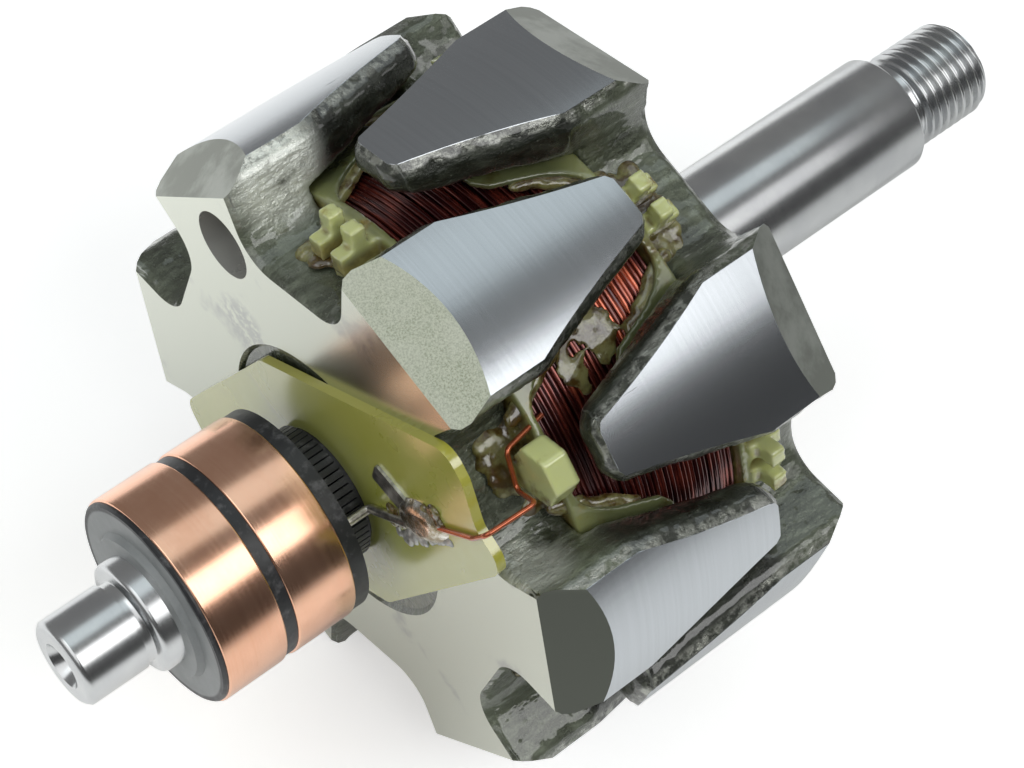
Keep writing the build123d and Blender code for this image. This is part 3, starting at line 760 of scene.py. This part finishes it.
def forged_mesh(node, longest):
    """Divide a pole's mesh finely, round and roughen its forging, and keep machined faces true."""
    rounding_passes = 5
    work = bmesh.new()
    work.from_mesh(frame["nodes"][node].data)
    bmesh.ops.remove_doubles(work, verts=work.verts, dist=0.002 * MM)
    divide_finely(work, longest)
    kinds = {face: face_kind(face) for face in work.faces}
    round_claws(work, kinds)
    free = []
    for vertex in work.verts:
        if all(kinds[face] == FORGED for face in vertex.link_faces):
            free.append(vertex)
    for _ in range(rounding_passes):
        bmesh.ops.smooth_vert(
            work, verts=free, factor=0.5, use_axis_x=True, use_axis_y=True, use_axis_z=True,
        )
    work.normal_update()
    share = lump_share(work, free)
    for vertex in free:
        lump = sum(noise.noise(vertex.co * scale) * height for scale, height in forged_lumps)
        vertex.co = vertex.co + vertex.normal * (lump * share[vertex] * MM)
    for edge in work.edges:
        edge.smooth = len({kinds[face] for face in edge.link_faces}) == 1
    for face in work.faces:
        face.smooth = True
    result = bpy.data.meshes.new(node + "_forged")
    work.to_mesh(result)
    work.free()
    return result


longest_edge = 1.0 * MM
for pole in ("front_claw_pole", "rear_claw_pole"):
    forged = forged_mesh(pole, longest_edge)
    add_piece(forged, pole + "_forged", finishes["pole_steel"], [pole])


# Bobbin: the same form with moulded, rounded edges
def moulded_mesh(node, voxel, budget):
    """Remesh a moulding finely, so that its edges and corners are rounded a little."""
    source = frame["nodes"][node].data
    soft = with_modifiers(
        source.copy(),
        ("REMESH", {"mode": "VOXEL", "voxel_size": voxel}),
        ("SMOOTH", {"factor": 0.5, "iterations": 2}),
    )
    size = sum(len(face.vertices) - 2 for face in soft.polygons)
    if size > budget:
        soft = with_modifiers(soft, ("DECIMATE", {"ratio": budget / size}))
    soft.shade_smooth()
    return soft


bobbin_voxel = 0.34 * MM
bobbin = moulded_mesh("coil_bobbin", bobbin_voxel, budget=150000)
bobbin.name = "coil_bobbin_rounded"
add_piece(bobbin, "coil_bobbin_rounded", finishes["bobbin_nylon"], ["coil_bobbin"])


# Resin and flux: beads run together in the notches, in the gaps and on the board.
# A place is (angle, depth behind the pole's outer face, radius), in degrees and millimetres.
notch_floor = ((-10, 10), (5.2, 11.4), (32.2, 32.9))
notch_wall_start = (9.8, 10.0, 34.5)
notch_wall_run = (8.6, 9.6, 1.5)
gap_radius = (34.78, 34.98)
gap_pools = (  # angle, depth, spread, count
    (119.5, 25.0, 1.9, 46),
    (123.3, 19.9, 1.7, 40),
)


def resin_mesh(name, beads, voxel, rounds):
    """Join flattened balls, given as (centre, (along, outward, around)), into one wet form."""
    cluster = bmesh.new()
    for centre, sizes in beads:
        turned = Matrix.Rotation(math.atan2(centre.z, centre.y), 4, "X")
        shape = Matrix.Translation(centre) @ turned @ Matrix.Diagonal((*sizes, 1))
        bmesh.ops.create_icosphere(cluster, subdivisions=2, radius=1.0, matrix=shape)
    lumps = bpy.data.meshes.new(name)
    cluster.to_mesh(lumps)
    cluster.free()
    joined = with_modifiers(
        lumps,
        ("REMESH", {"mode": "VOXEL", "voxel_size": voxel}),
        ("SMOOTH", {"factor": 0.6, "iterations": rounds}),
    )
    joined.name = name
    joined.shade_smooth()
    return joined


def bead_sizes(draw, along, outward, around):
    """Half sizes of one bead in metres, each up to a fifth off."""
    return [size * draw.uniform(0.8, 1.2) * MM for size in (along, outward, around)]


def notch_beads():
    """Resin round the lugs and along the walls of every notch."""
    draw = random.Random(11)
    floor_count, wall_count = 44, 34
    beads = []
    for at_front, first in ((True, front_angle), (False, front_angle + claw_pitch / 2)):
        for index in range(claw_count):
            middle = first + claw_pitch / 2 + index * claw_pitch
            spots = []
            for _ in range(floor_count):
                place = [draw.uniform(low, high) for low, high in notch_floor]
                spots.append((place, bead_sizes(draw, 1.4, 0.75, 1.6)))
            for side in (-1, 1):
                for step in range(wall_count):
                    share = step / (wall_count - 1)
                    sway = draw.uniform(-0.7, 0.7)
                    place = [start + run * share for start, run in zip(notch_wall_start, notch_wall_run)]
                    place[0] = side * place[0] + sway
                    spots.append((place, bead_sizes(draw, 1.3, 0.75, 1.0)))
            for (turn, depth, radius), sizes in spots:
                centre = radial(middle + turn) * radius * MM
                centre.x = front_face + depth * MM if at_front else -depth * MM
                beads.append((centre, sizes))
    return beads


def gap_beads():
    """Resin that bridges the winding beside one front claw."""
    draw = random.Random(5)
    turn_stretch = 2.4
    beads = []
    for middle, depth, spread, count in gap_pools:
        for _ in range(count):
            angle = middle + draw.gauss(0, 0.55) * spread * turn_stretch
            centre = radial(angle) * draw.uniform(*gap_radius) * MM
            centre.x = front_face + (depth + draw.gauss(0, 0.5) * spread) * MM
            beads.append((centre, bead_sizes(draw, 0.95, 0.26, 0.95)))
    return beads


def board_beads(start, end, spread, count, size, seed):
    """Beads on the terminal board along a line, in millimetres out from the shaft and across."""
    draw = random.Random(seed)
    beads = []
    for _ in range(count):
        share = draw.uniform(0, 1)
        out = start[0] + (end[0] - start[0]) * share + draw.uniform(-spread, spread)
        across = start[1] + (end[1] - start[1]) * share + draw.uniform(-spread, spread)
        centre = (radial(front_angle) * out + radial(front_angle + 90) * across) * MM
        centre.x = board_face - draw.uniform(0.0, 0.25) * size * MM
        beads.append((centre, bead_sizes(draw, 0.5 * size, size, size)))
    return beads


resin_voxel = 0.3 * MM
resin = resin_mesh("resin_beads", notch_beads() + gap_beads(), resin_voxel, rounds=9)
add_piece(resin, "resin_beads", resin_finish)

# Burnt flux and grey crust round the solder joint
flux_beads = board_beads((12.8, 9.8), (24.0, 15.2), spread=1.1, count=60, size=0.95, seed=3)
flux = resin_mesh("solder_flux", flux_beads, 0.16 * MM, rounds=3)
add_piece(flux, "solder_flux", resin_finish)
crust_beads = board_beads((10.8, 12.0), (22.0, 17.4), spread=0.9, count=70, size=0.62, seed=4)
crust = resin_mesh("solder_crust", crust_beads, 0.14 * MM, rounds=2)
add_piece(crust, "solder_crust", crust_finish)


# Field winding: the two outer layers turn by turn over a dark core
def winding_mesh():
    """Wire turns laid side by side, each a little uneven."""
    draw = random.Random(7)
    wire, wave = 0.31 * MM, 0.07 * MM
    turns, steps, sides = 37, 150, 6
    layer_shift = 0.3  # of a turn
    first_x, last_x = winding_start + wire, winding_end - wire
    width = winding_end - winding_start - 2 * wire
    inner_layer, outer_layer = winding_radius - 0.9 * MM, winding_radius - wire
    vertices, faces = [], []
    for layer, layer_radius in enumerate((inner_layer, outer_layer)):
        for turn in range(turns):
            middle = min(first_x + width * (turn + layer_shift * layer) / (turns - 0.4), last_x)
            lift = draw.uniform(-0.28, 0.0) * MM
            phase = draw.uniform(0, 2 * math.pi)
            sway = draw.uniform(0.03, 0.22) * MM
            first = len(vertices)
            for step in range(steps):
                angle = 2 * math.pi * step / steps
                x = middle + sway * math.sin(2 * angle + phase)
                x = min(max(x, first_x), last_x)
                reach = layer_radius + lift + wave * math.sin(3 * angle + 2 * phase) - wave
                for side in range(sides):
                    bend = 2 * math.pi * side / sides
                    radius = reach + wire * math.cos(bend)
                    along = x + wire * math.sin(bend)
                    vertices.append((along, radius * math.cos(angle), radius * math.sin(angle)))
            for step in range(steps):
                here, there = first + step * sides, first + (step + 1) % steps * sides
                for side in range(sides):
                    after = (side + 1) % sides
                    faces.append((here + side, there + side, there + after, here + after))
    mesh = bpy.data.meshes.new("winding_turns")
    mesh.from_pydata(vertices, [], faces)
    mesh.shade_smooth()
    return mesh


add_piece(
    winding_mesh(), "winding_turns", finishes["winding_copper"], ["field_winding"],
)
core_bore, core_radius = 24.0 * MM, winding_radius - 1.6 * MM
core_profile = [
    (winding_start, core_bore), (winding_start, core_radius), (winding_end, core_radius),
    (winding_end, core_bore), (winding_start, core_bore),
]
core = lathe_mesh("winding_core", core_profile, steps=96)
smooth(core)
add_piece(core, "winding_core", finishes["winding_copper"])


# Floor, light and camera
def paper_floor():
    """Round sheet of pale paper, darker outwards where mirror-like surfaces see it."""
    floor_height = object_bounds()[0].z - 0.05 * MM
    floor_radius = 0.34
    bpy.ops.mesh.primitive_circle_add(
        vertices=96, radius=floor_radius, fill_type="NGON", location=(0, 0, floor_height),
    )
    floor = bpy.context.object
    floor.name = "floor"
    paint = Paint("floor_paper")
    x, y, _ = paint.parts(paint.place)
    fade_centre_y, fade_start, fade_end = 0.14, 0.24, 0.46
    pale_paper, dark_paper = (0.88, 0.88, 0.87), (0.30, 0.30, 0.30)
    from_centre = paint.diagonal(x, paint.math("SUBTRACT", y, fade_centre_y))
    fade = paint.ramp(from_centre, fade_start, fade_end)
    paint.set(Base_Color=paint.mix(fade, pale_paper, dark_paper), Roughness=0.9)
    paint.shader.inputs["Emission Color"].default_value = (1, 1, 1, 1)
    rays = paint.node("ShaderNodeLightPath").outputs
    mirrored = paint.math("MAXIMUM", rays["Is Glossy Ray"], rays["Is Transmission Ray"])
    mirrored = paint.math("MULTIPLY", mirrored, paint.ramp(fade, 0.0, 1.0, 0.36, 0.0))
    mirrored = paint.math("MULTIPLY", mirrored, paint.ramp(x, 0.02, 0.10, 1.0, 0.2))
    # Painted shade: the floor's glow, as mirror-like surfaces see it, dimmed under the rotor.
    shade_under_rotor = paint.ramp(paint.diagonal(x, y), 0.05, 0.09, 0.35, 1.0)
    mirrored = paint.math("MULTIPLY", mirrored, shade_under_rotor)
    backdrop_level = 0.7
    backdrop = paint.math("MULTIPLY", rays["Is Glossy Ray"], backdrop_level)
    mirrored = paint.blend("FLOAT", paint.ramp(y, 0.03, 0.10), mirrored, backdrop)
    seen = paint.math("MULTIPLY", rays["Is Camera Ray"], paint.ramp(fade, 0.0, 1.0, 0.5, 0.9))
    paint.feed(paint.shader.inputs["Emission Strength"], paint.math("ADD", mirrored, seen))
    floor.data.materials.append(paint.material)


def surround():
    """Grey room, darker on the near side; white where the camera looks straight at it."""
    world = bpy.data.worlds.new("surround")
    bpy.context.scene.world = world
    world.use_nodes = True
    tree = world.node_tree
    back = tree.nodes["Background"]
    direction = tree.nodes.new("ShaderNodeTexCoord").outputs["Generated"]
    split = tree.nodes.new("ShaderNodeSeparateXYZ")
    tree.links.new(direction, split.inputs[0])
    side = tree.nodes.new("ShaderNodeMapRange")
    side.interpolation_type = "SMOOTHSTEP"
    tree.links.new(split.outputs[1], side.inputs[0])
    near_side, far_side = -0.75, 0.1
    near_level, far_level = 0.07, 0.24
    for socket, value in zip(side.inputs[1:5], (near_side, far_side, near_level, far_level)):
        socket.default_value = value
    path = tree.nodes.new("ShaderNodeLightPath")
    pick = tree.nodes.new("ShaderNodeMix")
    pick.data_type = "RGBA"
    tree.links.new(path.outputs["Is Camera Ray"], pick.inputs[0])
    tree.links.new(side.outputs[0], pick.inputs[6])
    pick.inputs[7].default_value = (1, 1, 1, 1)
    tree.links.new(pick.outputs[2], back.inputs["Color"])


lamp_distance = 0.6


def lamp(name, away, length, width, radiance, shift=0.0, colour=(1, 1, 1)):
    """A soft rectangular lamp that faces the rotor, with its length along the shaft."""
    light = bpy.data.lights.new(name, "AREA")
    light.shape = "RECTANGLE"
    light.size, light.size_y = length, width
    light.energy = radiance * math.pi * length * width
    light.color = colour
    holder = bpy.data.objects.new(name, light)
    bpy.context.scene.collection.objects.link(holder)
    away = away.normalized()
    level = Vector((1, 0, 0)) - away * away.x
    level.normalize()
    turned = Matrix((level, away.cross(level), away)).transposed().to_4x4()
    place = away * lamp_distance + Vector((shift, 0, 0))
    holder.matrix_world = Matrix.Translation(place) @ turned


camera_place = Vector((-0.17467, -0.15602, 0.32202))
camera_back = Vector((-0.39466, -0.39527, 0.82946))
camera_up = Vector((0.51596, 0.65163, 0.55603))


def photo_camera():
    """Camera at the photograph's place and angle."""
    lens = bpy.data.cameras.new("camera")
    lens.sensor_width = 36.0
    lens.lens = 106.17
    lens.clip_start = 0.01
    camera = bpy.data.objects.new("camera", lens)
    bpy.context.scene.collection.objects.link(camera)
    back_axis = camera_back.normalized()
    right_axis = camera_up.cross(back_axis).normalized()
    up_axis = back_axis.cross(right_axis)
    turned = Matrix((right_axis, up_axis, back_axis)).transposed().to_4x4()
    camera.matrix_world = Matrix.Translation(camera_place) @ turned
    bpy.context.scene.camera = camera


def studio():
    """Pale floor, long soft lamps overhead, a front lamp and the camera."""
    paper_floor()
    surround()
    cool_white = (0.86, 0.97, 1.0)
    lamp("far_lamp", radial(78), length=1.3, width=0.32, radiance=0.80, shift=0.12, colour=cool_white)
    lamp("near_lamp_bright", radial(129), length=0.5, width=0.32, radiance=2.75, shift=0.02)
    lamp("near_lamp_soft", radial(129.5), length=0.6, width=0.34, radiance=1.1, shift=0.57)
    lamp("front_lamp", Vector((-0.72, -0.05, 0.69)), length=0.45, width=0.6, radiance=1.1)
    photo_camera()
    bpy.context.scene.view_settings.view_transform = "Standard"


studio()
